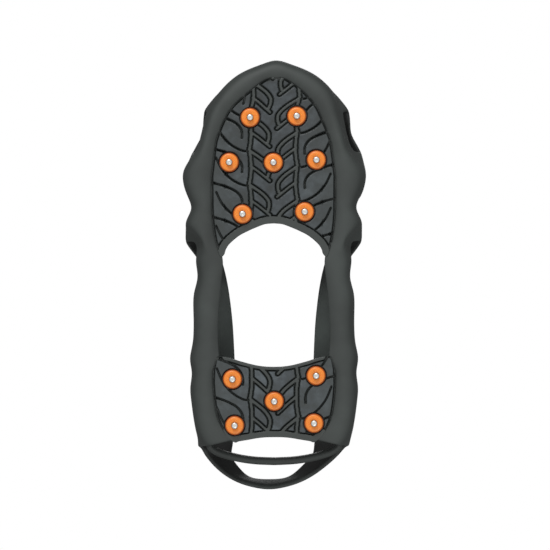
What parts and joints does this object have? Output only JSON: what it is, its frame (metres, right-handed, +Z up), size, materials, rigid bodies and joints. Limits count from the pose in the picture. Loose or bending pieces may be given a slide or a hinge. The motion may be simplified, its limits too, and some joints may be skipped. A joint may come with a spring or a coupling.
{
  "type": "slip-on studded ice cleat",
  "caption": "Stretch rubber overshoe frame with forefoot and heel tread plates, a top rim, heel straps and steel-tipped studs in round collars, for grip on ice.",
  "frame": {"origin": "centre of the footprint on the ground plane that the stud tips touch", "axes": "+Z up from the ground to the foot, -Y to the toe, +Y to the heel, +X across the foot"},
  "size_m": [0.1077, 0.25, 0.061],
  "materials": {
    "wall_rubber": "moulded, satin",
    "tread_rubber": "moulded, satin",
    "stud_collar": "moulded, gloss",
    "stud_steel": "turned, zinc plated"
  },
  "bodies": {
    "heel": {"heel_sole": "tread_rubber", "heel_quarter_left": "wall_rubber", "heel_quarter_right": "wall_rubber", "arch_rail_left": "wall_rubber", "arch_rail_right": "wall_rubber", "arch_wall_left": "wall_rubber", "arch_wall_right": "wall_rubber", "stud_pin_08": "stud_steel", "stud_pin_09": "stud_steel", "stud_pin_10": "stud_steel", "stud_pin_11": "stud_steel", "stud_pin_12": "stud_steel", "stud_collar_08": "stud_collar", "stud_collar_09": "stud_collar", "stud_collar_10": "stud_collar", "stud_collar_11": "stud_collar", "stud_collar_12": "stud_collar", "stud_washer_08": "stud_steel", "stud_washer_09": "stud_steel", "stud_washer_10": "stud_steel", "stud_washer_11": "stud_steel", "stud_washer_12": "stud_steel"},
    "forefoot": {"forefoot_sole": "tread_rubber", "toe_bumper": "wall_rubber", "toe_strut": "wall_rubber", "forefoot_rail_left": "wall_rubber", "forefoot_rail_right": "wall_rubber", "front_strut_left": "wall_rubber", "front_strut_right": "wall_rubber", "forefoot_wall_left": "wall_rubber", "forefoot_wall_right": "wall_rubber", "stud_pin_01": "stud_steel", "stud_pin_02": "stud_steel", "stud_pin_03": "stud_steel", "stud_pin_04": "stud_steel", "stud_pin_05": "stud_steel", "stud_pin_06": "stud_steel", "stud_pin_07": "stud_steel", "stud_collar_01": "stud_collar", "stud_collar_02": "stud_collar", "stud_collar_03": "stud_collar", "stud_collar_04": "stud_collar", "stud_collar_05": "stud_collar", "stud_collar_06": "stud_collar", "stud_collar_07": "stud_collar", "stud_washer_01": "stud_steel", "stud_washer_02": "stud_steel", "stud_washer_03": "stud_steel", "stud_washer_04": "stud_steel", "stud_washer_05": "stud_steel", "stud_washer_06": "stud_steel", "stud_washer_07": "stud_steel"},
    "toe_strap": {"toe_strap": "wall_rubber"},
    "heel_band": {"heel_band": "wall_rubber"},
    "heel_strap": {"heel_strap": "wall_rubber"}
  },
  "joints": [
    {"name": "arch_flex", "type": "hinge", "parent": "heel", "child": "forefoot", "pos_m": [0, 0.0154, 0.0055], "axis": [-1, 0, 0], "range_deg": [-15, 40], "stiffness_Nm_per_rad": 0.8, "deforming": ["arch_rail_left", "arch_rail_right", "arch_wall_left", "arch_wall_right"]},
    {"name": "toe_strap_lift", "type": "hinge", "parent": "forefoot", "child": "toe_strap", "pos_m": [0, -0.0494, 0.0392], "axis": [-1, 0, 0], "range_deg": [0, 18], "stiffness_Nm_per_rad": 0.6},
    {"name": "heel_strap_pull", "type": "hinge", "parent": "heel", "child": "heel_strap", "pos_m": [0, 0.0994, 0.041], "axis": [-1, 0, 0], "range_deg": [0, 50], "stiffness_Nm_per_rad": 0.2},
    {"name": "heel_band_pull", "type": "hinge", "parent": "heel", "child": "heel_band", "pos_m": [0, 0.0999, 0.0155], "axis": [-1, 0, 0], "range_deg": [0, 20], "stiffness_Nm_per_rad": 0.2}
  ],
  "couplings": [
    {"joint": "heel_band_pull", "follows": "heel_strap_pull", "ratio": 0.4}
  ]
}
